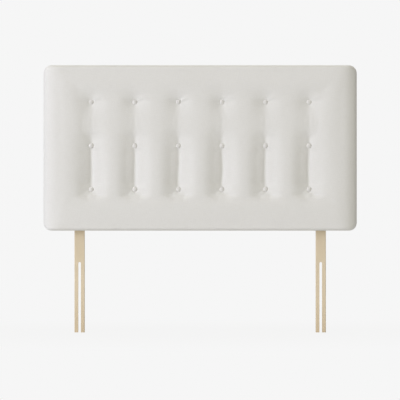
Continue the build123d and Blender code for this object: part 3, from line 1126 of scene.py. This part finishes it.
@dataclass(frozen=True)
class Filling:
    """The stuffing that presses the cloth out between its seams, as a short cloth simulation.

    Args:
        pressure: The push from inside.
        frames: How long it pushes.
        slack: How far the crowns start below their full height.
        slack_fade: The distance from seams, buttons and outline over which the slack grows.
        lumps: How uneven the slack is.
        lump_scale: How closely its lumps follow each other, to the metre.
        cap: The most that a place may end away from its drafted one.
        sink: The most that it may end below it, so the layers beneath stay covered.
        seam: Half the width of the cloth that a seam holds.
        beyond: How far a seam reaches past its end buttons, in row pitches.
        button: The radius of the cloth that a button holds.
        rim: The width of the cloth that the outline holds.
        seam_fade: The distance over which the hold of seams and buttons on the moves fades.
        rim_fade: The distance over which the outline's hold on them fades.
        mesh_step: The distance between the mesh lines of the simulated copy, in millimetres.
        near_edge: The distances of its lines next to the outline, in millimetres.
        blend: The distance over which the copy's moves are averaged.
        neighbours: The number of the copy's places that are averaged.
    """

    pressure: float = 4.0
    frames: int = 20
    slack: float = 4 * MM
    slack_fade: float = 40 * MM
    lumps: float = 0.45
    lump_scale: float = 14.0
    cap: float = 3 * MM
    sink: float = 0.5 * MM
    seam: float = 1 * MM
    beyond: float = 0.04
    button: float = 10 * MM
    rim: float = 7 * MM
    seam_fade: float = 9 * MM
    rim_fade: float = 90 * MM
    mesh_step: float = 12.5
    near_edge: tuple[float, ...] = (11, 22, 34, 46)
    blend: float = 9 * MM
    neighbours: int = 10

    def free(self, block: PaddedBlock, place: Vector, reach: float, edge: float) -> float:
        """Returns how free a place is to move.

        Args:
            block: The padded block.
            place: The place.
            reach: The distance over which the hold of creases and buttons fades.
            edge: The distance over which the outline's hold fades.

        Returns:
            0 at a crease, a button, the outline and the sides, and 1 away from them.
        """
        tufts = block.tufts
        _, _, off_x, off_z = tufts.nearest(place.x, place.z)
        shares = [
            ease(block.half_width - abs(place.x), self.rim, self.rim + edge),
            ease(block.half_height - abs(place.z - block.middle), self.rim, self.rim + edge),
            ease(math.hypot(off_x, off_z), self.button, self.button + reach),
        ]
        if -self.beyond < tufts.below(place.z) < tufts.rows - 1 + self.beyond:
            aside = abs(off_x - tufts.sway(place.x, place.z))
            shares.append(ease(aside, self.seam, self.seam + reach))
        return math.prod(shares)

    def draped(self, block: PaddedBlock) -> tuple[bpy.types.Object, list[Vector]]:
        """Lays out an evenly meshed copy of the cloth, a little slack between its held places.

        Args:
            block: The padded block.

        Returns:
            The copy, with a vertex group of what is held, and the list of its drafted places.
        """
        even = replace(
            block, fine=tuple(self.mesh_step * i for i in range(8)), coarse=self.mesh_step * MM,
            near_edge=self.near_edge, side_steps=6,
        )
        mesh = as_mesh("cloth_trial", even.build())
        trial = placed("cloth_trial", mesh)
        drafted = [vert.co.copy() for vert in mesh.vertices]
        loose = [self.free(block, place, self.seam, self.seam) for place in drafted]
        held = [number for number, share in enumerate(loose) if share == 0]
        trial.vertex_groups.new(name="held").add(held, 1.0, "REPLACE")
        normals = [vert.normal.copy() for vert in mesh.vertices]
        for vert, normal in zip(mesh.vertices, normals):
            uneven = 1 + self.lumps * noise.noise(vert.co * self.lump_scale)
            share = self.free(block, vert.co, self.slack_fade, self.slack_fade)
            vert.co -= normal * self.slack * share * uneven
        return trial, drafted

    def simulated(self, block: PaddedBlock) -> tuple[KDTree, list[Vector]]:
        """Blows up the evenly meshed copy of the cloth.

        Args:
            block: The padded block.

        Returns:
            A tree of the copy's drafted places, and the list of how far each moved.
        """
        trial, drafted = self.draped(block)
        cloth = trial.modifiers.new("filling", "CLOTH")
        weave = {
            "quality": 4, "mass": 0.25, "tension_stiffness": 18, "compression_stiffness": 6,
            "shear_stiffness": 6, "bending_stiffness": 0.6, "vertex_group_mass": "held",
            "use_pressure": True, "uniform_pressure_force": self.pressure,
        }
        for name, value in weave.items():
            setattr(cloth.settings, name, value)
        cloth.settings.effector_weights.gravity = 0
        cloth.point_cache.frame_start, cloth.point_cache.frame_end = 1, self.frames
        scene = bpy.context.scene
        for number in range(1, self.frames + 1):
            scene.frame_set(number)
        blown = trial.evaluated_get(bpy.context.evaluated_depsgraph_get()).data
        moves = [vert.co - draft for vert, draft in zip(blown.vertices, drafted)]
        scene.frame_set(1)
        bpy.data.meshes.remove(trial.data)
        tree = KDTree(len(drafted))
        for number, place in enumerate(drafted):
            tree.insert(place, number)
        tree.balance()
        return tree, moves

    def blow_up(self, piece: bpy.types.Object, block: PaddedBlock) -> None:
        """Gives the cloth the shape that its simulated copy takes under pressure.

        Args:
            piece: The cloth.
            block: The padded block.
        """
        tree, moves = self.simulated(block)
        log.info("filling: moved up to %.1f mm", max(move.length for move in moves) / MM)
        for vert in piece.data.vertices:
            free = self.free(block, vert.co, self.seam_fade, self.rim_fade)
            if free == 0:
                continue
            total, weights = Vector(), 0.0
            for _, number, gap in tree.find_n(vert.co, self.neighbours):
                weight = math.exp(-((gap / self.blend) ** 2))
                total += moves[number] * weight
                weights += weight
            move = total / max(weights, TINY * MM) * free
            move *= self.cap * math.tanh(move.length / self.cap) / max(move.length, TINY * MM)
            move.y = min(move.y, self.sink)
            vert.co += move
        piece.data.update()


@dataclass
class Buttons:
    """The covered buttons: domed cloth caps, each sunk on its seat and turned a little.

    Args:
        tufts: Where they sit.
        profile: Radii and heights from the cap's rim to its crown, in millimetres.
        cloth: The thickness of the cap's cloth.
        steps: The number of faces round a cap.
        turn: How much further each cap is turned than the one before, in radians.
        lean: How far a cap may lean up or down, in radians.
        lean_step: How quickly the lean changes from cap to cap.
    """

    tufts: TuftPattern
    profile: tuple[tuple[float, float], ...] = (
        (9.2, 0.2), (10.3, 0.1), (11.0, 0.9), (11.0, 2.0), (10.3, 3.3),
        (8.8, 4.7), (6.6, 5.9), (3.6, 6.8), (1.4, 7.05), (0.0, 7.1),
    )
    cloth: float = 0.6 * MM
    steps: int = 28
    turn: float = math.radians(37)
    lean: float = math.radians(3.5)
    lean_step: float = 2.4

    def one(self) -> bmesh.types.BMesh:
        """Turns one cap at the origin, facing forwards, its weave laid out in metres.

        Returns:
            Its mesh.
        """
        bm = bmesh.new()
        verts = [bm.verts.new((radius * MM, -height * MM, 0)) for radius, height in self.profile]
        edges = [bm.edges.new(pair) for pair in zip(verts, verts[1:])]
        bmesh.ops.spin(bm, geom=verts + edges, cent=(0, 0, 0), axis=(0, 1, 0), angle=math.tau,
                       steps=self.steps, use_merge=True)
        bmesh.ops.remove_doubles(bm, verts=bm.verts, dist=0.01 * MM)
        bmesh.ops.recalc_face_normals(bm, faces=bm.faces)
        layout = bm.loops.layers.uv.new(CLOTH_LAYOUT)
        for face in bm.faces:
            for loop in face.loops:
                loop[layout].uv = (loop.vert.co.x, loop.vert.co.z)
        return bm

    def make(self) -> bpy.types.Object:
        """Sets a cap on every seat.

        Returns:
            The caps as one piece.
        """
        bm = self.one()
        pattern = bm.verts[:] + bm.edges[:] + bm.faces[:]
        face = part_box("cover")[0].y
        for number, seat in enumerate(self.tufts.seats()):
            verts = verts_of(bmesh.ops.duplicate(bm, geom=pattern)["geom"])
            tilt = Matrix.Rotation(self.lean * math.sin(number * self.lean_step), 3, "X")
            spin = Matrix.Rotation(self.turn * number, 3, "Y")
            bmesh.ops.rotate(bm, verts=verts, cent=(0, 0, 0), matrix=tilt @ spin)
            bmesh.ops.translate(bm, verts=verts, vec=(seat.x, face + seat.y, seat.z))
        bmesh.ops.delete(bm, geom=verts_of(pattern), context="VERTS")
        piece = as_piece("covered_buttons", bm, Finish.CAPS)
        piece.modifiers.new("thickness", "SOLIDIFY").thickness = self.cloth
        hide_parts("button_caps")
        return piece


@dataclass
class BackLining:
    """The black cloth stapled over the back, its hem folded under, drawn a little between staples.

    Args:
        hem: The width of the hem.
        ply: The thickness of the cloth.
        inside: How far its back stays inside that of the CAD lining.
        ripple: The depth of its ripples.
        ripple_scale: How closely they follow each other, to the metre.
        draw: How far it is drawn in between two staples, as a share of its thickness.
        pitch: The distance between the staples.
        step: The distance between the mesh's lines.
    """

    hem: float = 12 * MM
    ply: float = 0.35 * MM
    inside: float = 0.05 * MM
    ripple: float = 0.3 * MM
    ripple_scale: float = 6.0
    draw: float = 0.4
    pitch: float = 100 * MM
    step: float = 12 * MM

    def depth(self, x: float, z: float, width: float, height: float) -> float:
        """Returns how far the lining lies in from its back at a place.

        Args:
            x: The place to the right of the lining's middle.
            z: The place above the lining's middle.
            width: The lining's width.
            height: The lining's height.

        Returns:
            The depth in metres.
        """
        to_end, to_rail = width / 2 - abs(x), height / 2 - abs(z)
        edge = min(to_end, to_rail)
        sag = self.ripple * (0.5 + 0.5 * stray(x * self.ripple_scale, z * self.ripple_scale, 0))
        scallop = 0.5 - 0.5 * math.cos(math.tau * (x if to_rail < to_end else z) / self.pitch)
        drawn = self.ply * self.draw * scallop * (1 - ease(edge, 0, 5 * self.hem))
        fold = 0 if edge < self.hem else self.ply / 2
        return self.inside + fold + sag * ease(edge, self.hem, 4 * self.hem) + drawn

    def make(self) -> bpy.types.Object:
        """Stretches the lining over the back.

        Returns:
            The sheet.
        """
        low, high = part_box("back_lining")
        width, height = high.x - low.x, high.z - low.z
        middle = (high.z + low.z) / 2
        bm = bmesh.new()
        across, up = round(width / self.step), round(height / self.step)
        bmesh.ops.create_grid(bm, x_segments=across, y_segments=up, size=0.5)
        for vert in bm.verts:
            x, z = vert.co.x * width, vert.co.y * height
            vert.co = (x, high.y - self.depth(x, z, width, height), middle + z)
        bmesh.ops.recalc_face_normals(bm, faces=bm.faces)
        bm.faces.ensure_lookup_table()
        if bm.faces[0].normal.y < 0:
            bmesh.ops.reverse_faces(bm, faces=bm.faces)
        piece = as_piece("stretched_lining", bm, Finish.LINING)
        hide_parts("back_lining")
        return piece


@dataclass
class ButtonTies:
    """The twine loops that hold the buttons, each round a button's eye and its toggle.

    Args:
        tufts: Where the buttons sit.
        radius: The twine's radius.
        turn: The radius of a loop's ends.
        eye: How far behind a button's seat its loop's front end begins.
        sides: The number of faces round the twine.
        steps: The number of faces round a loop's end.
    """

    tufts: TuftPattern
    radius: float = 0.8 * MM
    turn: float = 3.5 * MM
    eye: float = 6.4 * MM
    sides: int = 8
    steps: int = 8

    def make(self) -> bpy.types.Object:
        """Loops twine from every button to its toggle.

        Returns:
            The loops as one piece.
        """
        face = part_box("cover")[0].y
        toggle = sum(corner.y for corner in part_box("tie_toggles")) / 2
        upright = Matrix.Rotation(math.pi / 2, 3, "X")
        bm = bmesh.new()
        for seat in self.tufts.seats():
            front = face + seat.y + self.eye
            circle = bmesh.ops.create_circle(bm, segments=self.sides, radius=self.radius)
            ring = circle["verts"]
            bmesh.ops.rotate(bm, verts=ring, cent=(0, 0, 0), matrix=upright)
            bmesh.ops.translate(bm, verts=ring, vec=(seat.x - self.turn, front, seat.z))
            end = list({edge for vert in ring for edge in vert.link_edges})
            for turn_at, run in ((toggle, toggle - front), (front, front - toggle)):
                end, fresh = grow(bm, end)
                bmesh.ops.translate(bm, verts=fresh, vec=(0, run, 0))
                spun = bmesh.ops.spin(
                    bm, geom=fresh + end, cent=(seat.x, turn_at, seat.z), axis=(0, 0, 1),
                    angle=-math.pi, steps=self.steps,
                )
                end = edges_of(spun["geom_last"])
        bmesh.ops.remove_doubles(bm, verts=bm.verts, dist=0.02 * MM)
        bmesh.ops.recalc_face_normals(bm, faces=bm.faces)
        piece = as_piece("twine_ties", bm, Finish.TWINE)
        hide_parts("button_ties")
        return piece


class FrameDressing:
    """The finishes of the rigid pieces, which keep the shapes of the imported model."""

    finishes: dict[Finish, tuple[str, ...]] = {
        Finish.STRUT: ("left_strut", "right_strut"),
        Finish.UPRIGHT: (
            "left_stile", "right_stile", "centre_stile", "left_strut_rail", "right_strut_rail",
        ),
        Finish.RAIL: ("top_rail", "bottom_rail", "corner_blocks"),
        Finish.BOARD: ("front_board",),
        Finish.NYLON: ("tie_toggles",),
        Finish.PRESSED: ("button_shells",),
        Finish.ZINC: (
            "strut_bolts", "strut_washers", "tee_nuts", "frame_screws",
            "board_pins", "cover_staples", "lining_staples", "button_backs",
        ),
    }

    def dress(self) -> list[str]:
        """Gives each rigid piece its finish.

        Returns:
            The names of the pieces.
        """
        done = []
        for finish, nodes in self.finishes.items():
            for node in nodes:
                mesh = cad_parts[node].data
                mesh.materials.clear()
                mesh.materials.append(finish.get())
                done.append(node)
        return done


@dataclass
class Studio:
    """A plain pale floor and surround, soft light from the left and a long lens square on.

    Args:
        scale: The size of a pixel at the panel's front.
        pixels: The picture's width.
        centre: The place in the picture's middle.
        lens: The lens's focal length in millimetres.
        nearer: How far in front of the frame's plane that scale holds.
        pale: The tone of floor and backdrop.
        tint: The colour of the light from all round.
        sides: How much brighter that light is from the left than from the middle.
        above: How much brighter it is from above.
        ahead: How much comes from in front and behind, rather than from the sides.
        least: The least that comes from anywhere.
        matt: The floor's colour where light falls on it.
        bounce: How much of the floor glows evenly for what it lights.
        plain: How much of it glows evenly for the camera, near the feet and far off.
        plain_reach: The distances from the middle between which that changes.
        lamp_size: The lamp's width and height.
        lamp_place: Where it hangs.
        lamp_aim: What it points at.
        lamp_power: Its power in watts.
        lamp_tint: Its colour.
    """

    scale: float = 4.306 * MM
    pixels: int = 400
    centre: tuple[float, float, float] = (-0.0008, 0, 0.572)
    lens: float = 400.0
    nearer: float = 60 * MM
    pale: float = 0.9216
    tint: Colour = (1.0, 0.972, 0.865)
    sides: float = -0.17
    above: float = 0.13
    ahead: float = 1.26
    least: tuple[float, float] = (0.02, 0.04)
    matt: float = 0.72
    bounce: float = 0.22
    plain: tuple[float, float] = (0.96, 1.0)
    plain_reach: tuple[float, float] = (0.6, 2.2)
    lamp_size: tuple[float, float] = (5.2, 4.4)
    lamp_place: tuple[float, float, float] = (-12.6, -7.9, 2.2)
    lamp_aim: tuple[float, float, float] = (0, 0, 0.72)
    lamp_power: float = 915.0
    lamp_tint: Colour = (0.98, 1.0, 1.16)

    def camera(self) -> None:
        """Sets the camera square on, with the photo's framing."""
        data = bpy.data.cameras.new("camera")
        data.lens = self.lens
        data.clip_end = 200
        away = self.scale * self.pixels * self.lens / data.sensor_width
        camera = placed("camera", data)
        camera.location = Vector(self.centre) - Vector((0, away + self.nearer, 0))
        camera.rotation_euler = (math.pi / 2, 0, 0)
        bpy.context.scene.camera = camera

    def surround(self) -> None:
        """Lights the scene from all round, before an even pale backdrop."""
        world = bpy.data.worlds.new("surround")
        bpy.context.scene.world = world
        world.use_nodes = True
        w = Wiring(world.node_tree)
        way = w.add("SeparateXYZ", {0: w.add("TexCoord").outputs["Generated"]}).outputs
        middle = w.calc("POWER", w.calc("SUBTRACT", 1.0, w.calc("POWER", way[0], 2.0)), 4.0)
        level = w.weighted((way[0], self.sides), (way[2], self.above), (middle, self.ahead))
        base, least = self.least
        level = w.calc("MAXIMUM", w.calc("ADD", level, base), least)
        soft = w.add("Background", {"Color": (*self.tint, 1), "Strength": level})
        even = w.add("Background", {"Color": (1, 1, 1, 1), "Strength": self.pale})
        seen = w.add("LightPath").outputs["Is Camera Ray"]
        both = w.add("MixShader", {0: seen, 1: soft.outputs[0], 2: even.outputs[0]})
        w.add("OutputWorld", {"Surface": both.outputs[0]})

    def floor(self) -> None:
        """Lays the floor, which stays as pale as the surround."""
        bm = bmesh.new()
        bmesh.ops.create_circle(bm, cap_ends=True, segments=64, radius=40)
        material = bpy.data.materials.new("pale_floor")
        material.use_nodes = True
        w = Wiring(material.node_tree)
        matt = w.add("BsdfDiffuse", {"Color": (self.matt, self.matt, self.matt, 1)})
        glow = w.add("Emission", {"Color": (1, 1, 1, 1), "Strength": self.pale})
        away = w.add("VectorMath", {0: w.add("TexCoord").outputs["Object"]}, operation="LENGTH")
        feeds = dict(enumerate((away.outputs["Value"], *self.plain_reach, *self.plain)))
        plain = w.add("MapRange", feeds).outputs[0]
        seen = w.add("LightPath").outputs["Is Camera Ray"]
        share = w.add("Mix", {0: seen, 2: self.bounce, 3: plain}).outputs[0]
        both = w.add("MixShader", {0: share, 1: matt.outputs[0], 2: glow.outputs[0]})
        w.add("OutputMaterial", {"Surface": both.outputs[0]})
        floor = placed("floor", as_mesh("floor", bm))
        floor.data.materials.append(material)

    def lamp(self) -> None:
        """Hangs the large soft lamp on the left."""
        data = bpy.data.lights.new("key", "AREA")
        data.shape = "RECTANGLE"
        data.size, data.size_y = self.lamp_size
        data.energy = self.lamp_power
        data.color = self.lamp_tint
        lamp = placed("key", data)
        lamp.location = self.lamp_place
        aim = Vector(self.lamp_aim) - lamp.location
        lamp.rotation_euler = aim.to_track_quat("-Z", "Y").to_euler()

    def build(self) -> None:
        """Sets up the whole studio."""
        bpy.context.scene.view_settings.view_transform = "Standard"
        self.camera()
        self.surround()
        self.floor()
        self.lamp()


def main() -> None:
    """Builds the headboard piece by piece and reports each one."""
    logging.basicConfig(level=logging.INFO, format="%(message)s")
    Studio().build()
    tufts = TuftPattern()
    inner = {
        "tufts": tufts, "fine": (0, 9, 18, 28, 40, 54, 70, 84), "coarse": 30 * MM,
        "near_edge": (7, 14, 21, 28, 40, 60),
    }
    makers = [
        PaddedBlock("cover", "padded_cover", Finish.COVER, "cover_fabric", tufts, turned=45 * MM,
                    thickness=1.1 * MM, filled=Filling()),
        PaddedBlock("wadding", "quilted_wadding", Finish.WADDING, "polyester", **inner,
                    under=1.7 * MM, side_steps=6, thickness=6 * MM),
        PaddedBlock("foam_pad", "tufted_foam", Finish.FOAM, "foam", **inner,
                    under=8 * MM, side_steps=5),
        Buttons(tufts),
        ButtonTies(tufts),
        BackLining(),
    ]
    for maker in makers:
        piece = maker.make()
        log.info("%s: %d faces", piece.name, len(piece.data.polygons))
    log.info("dressed: %s", ", ".join(FrameDressing().dress()))


if __name__ == "__main__":
    main()
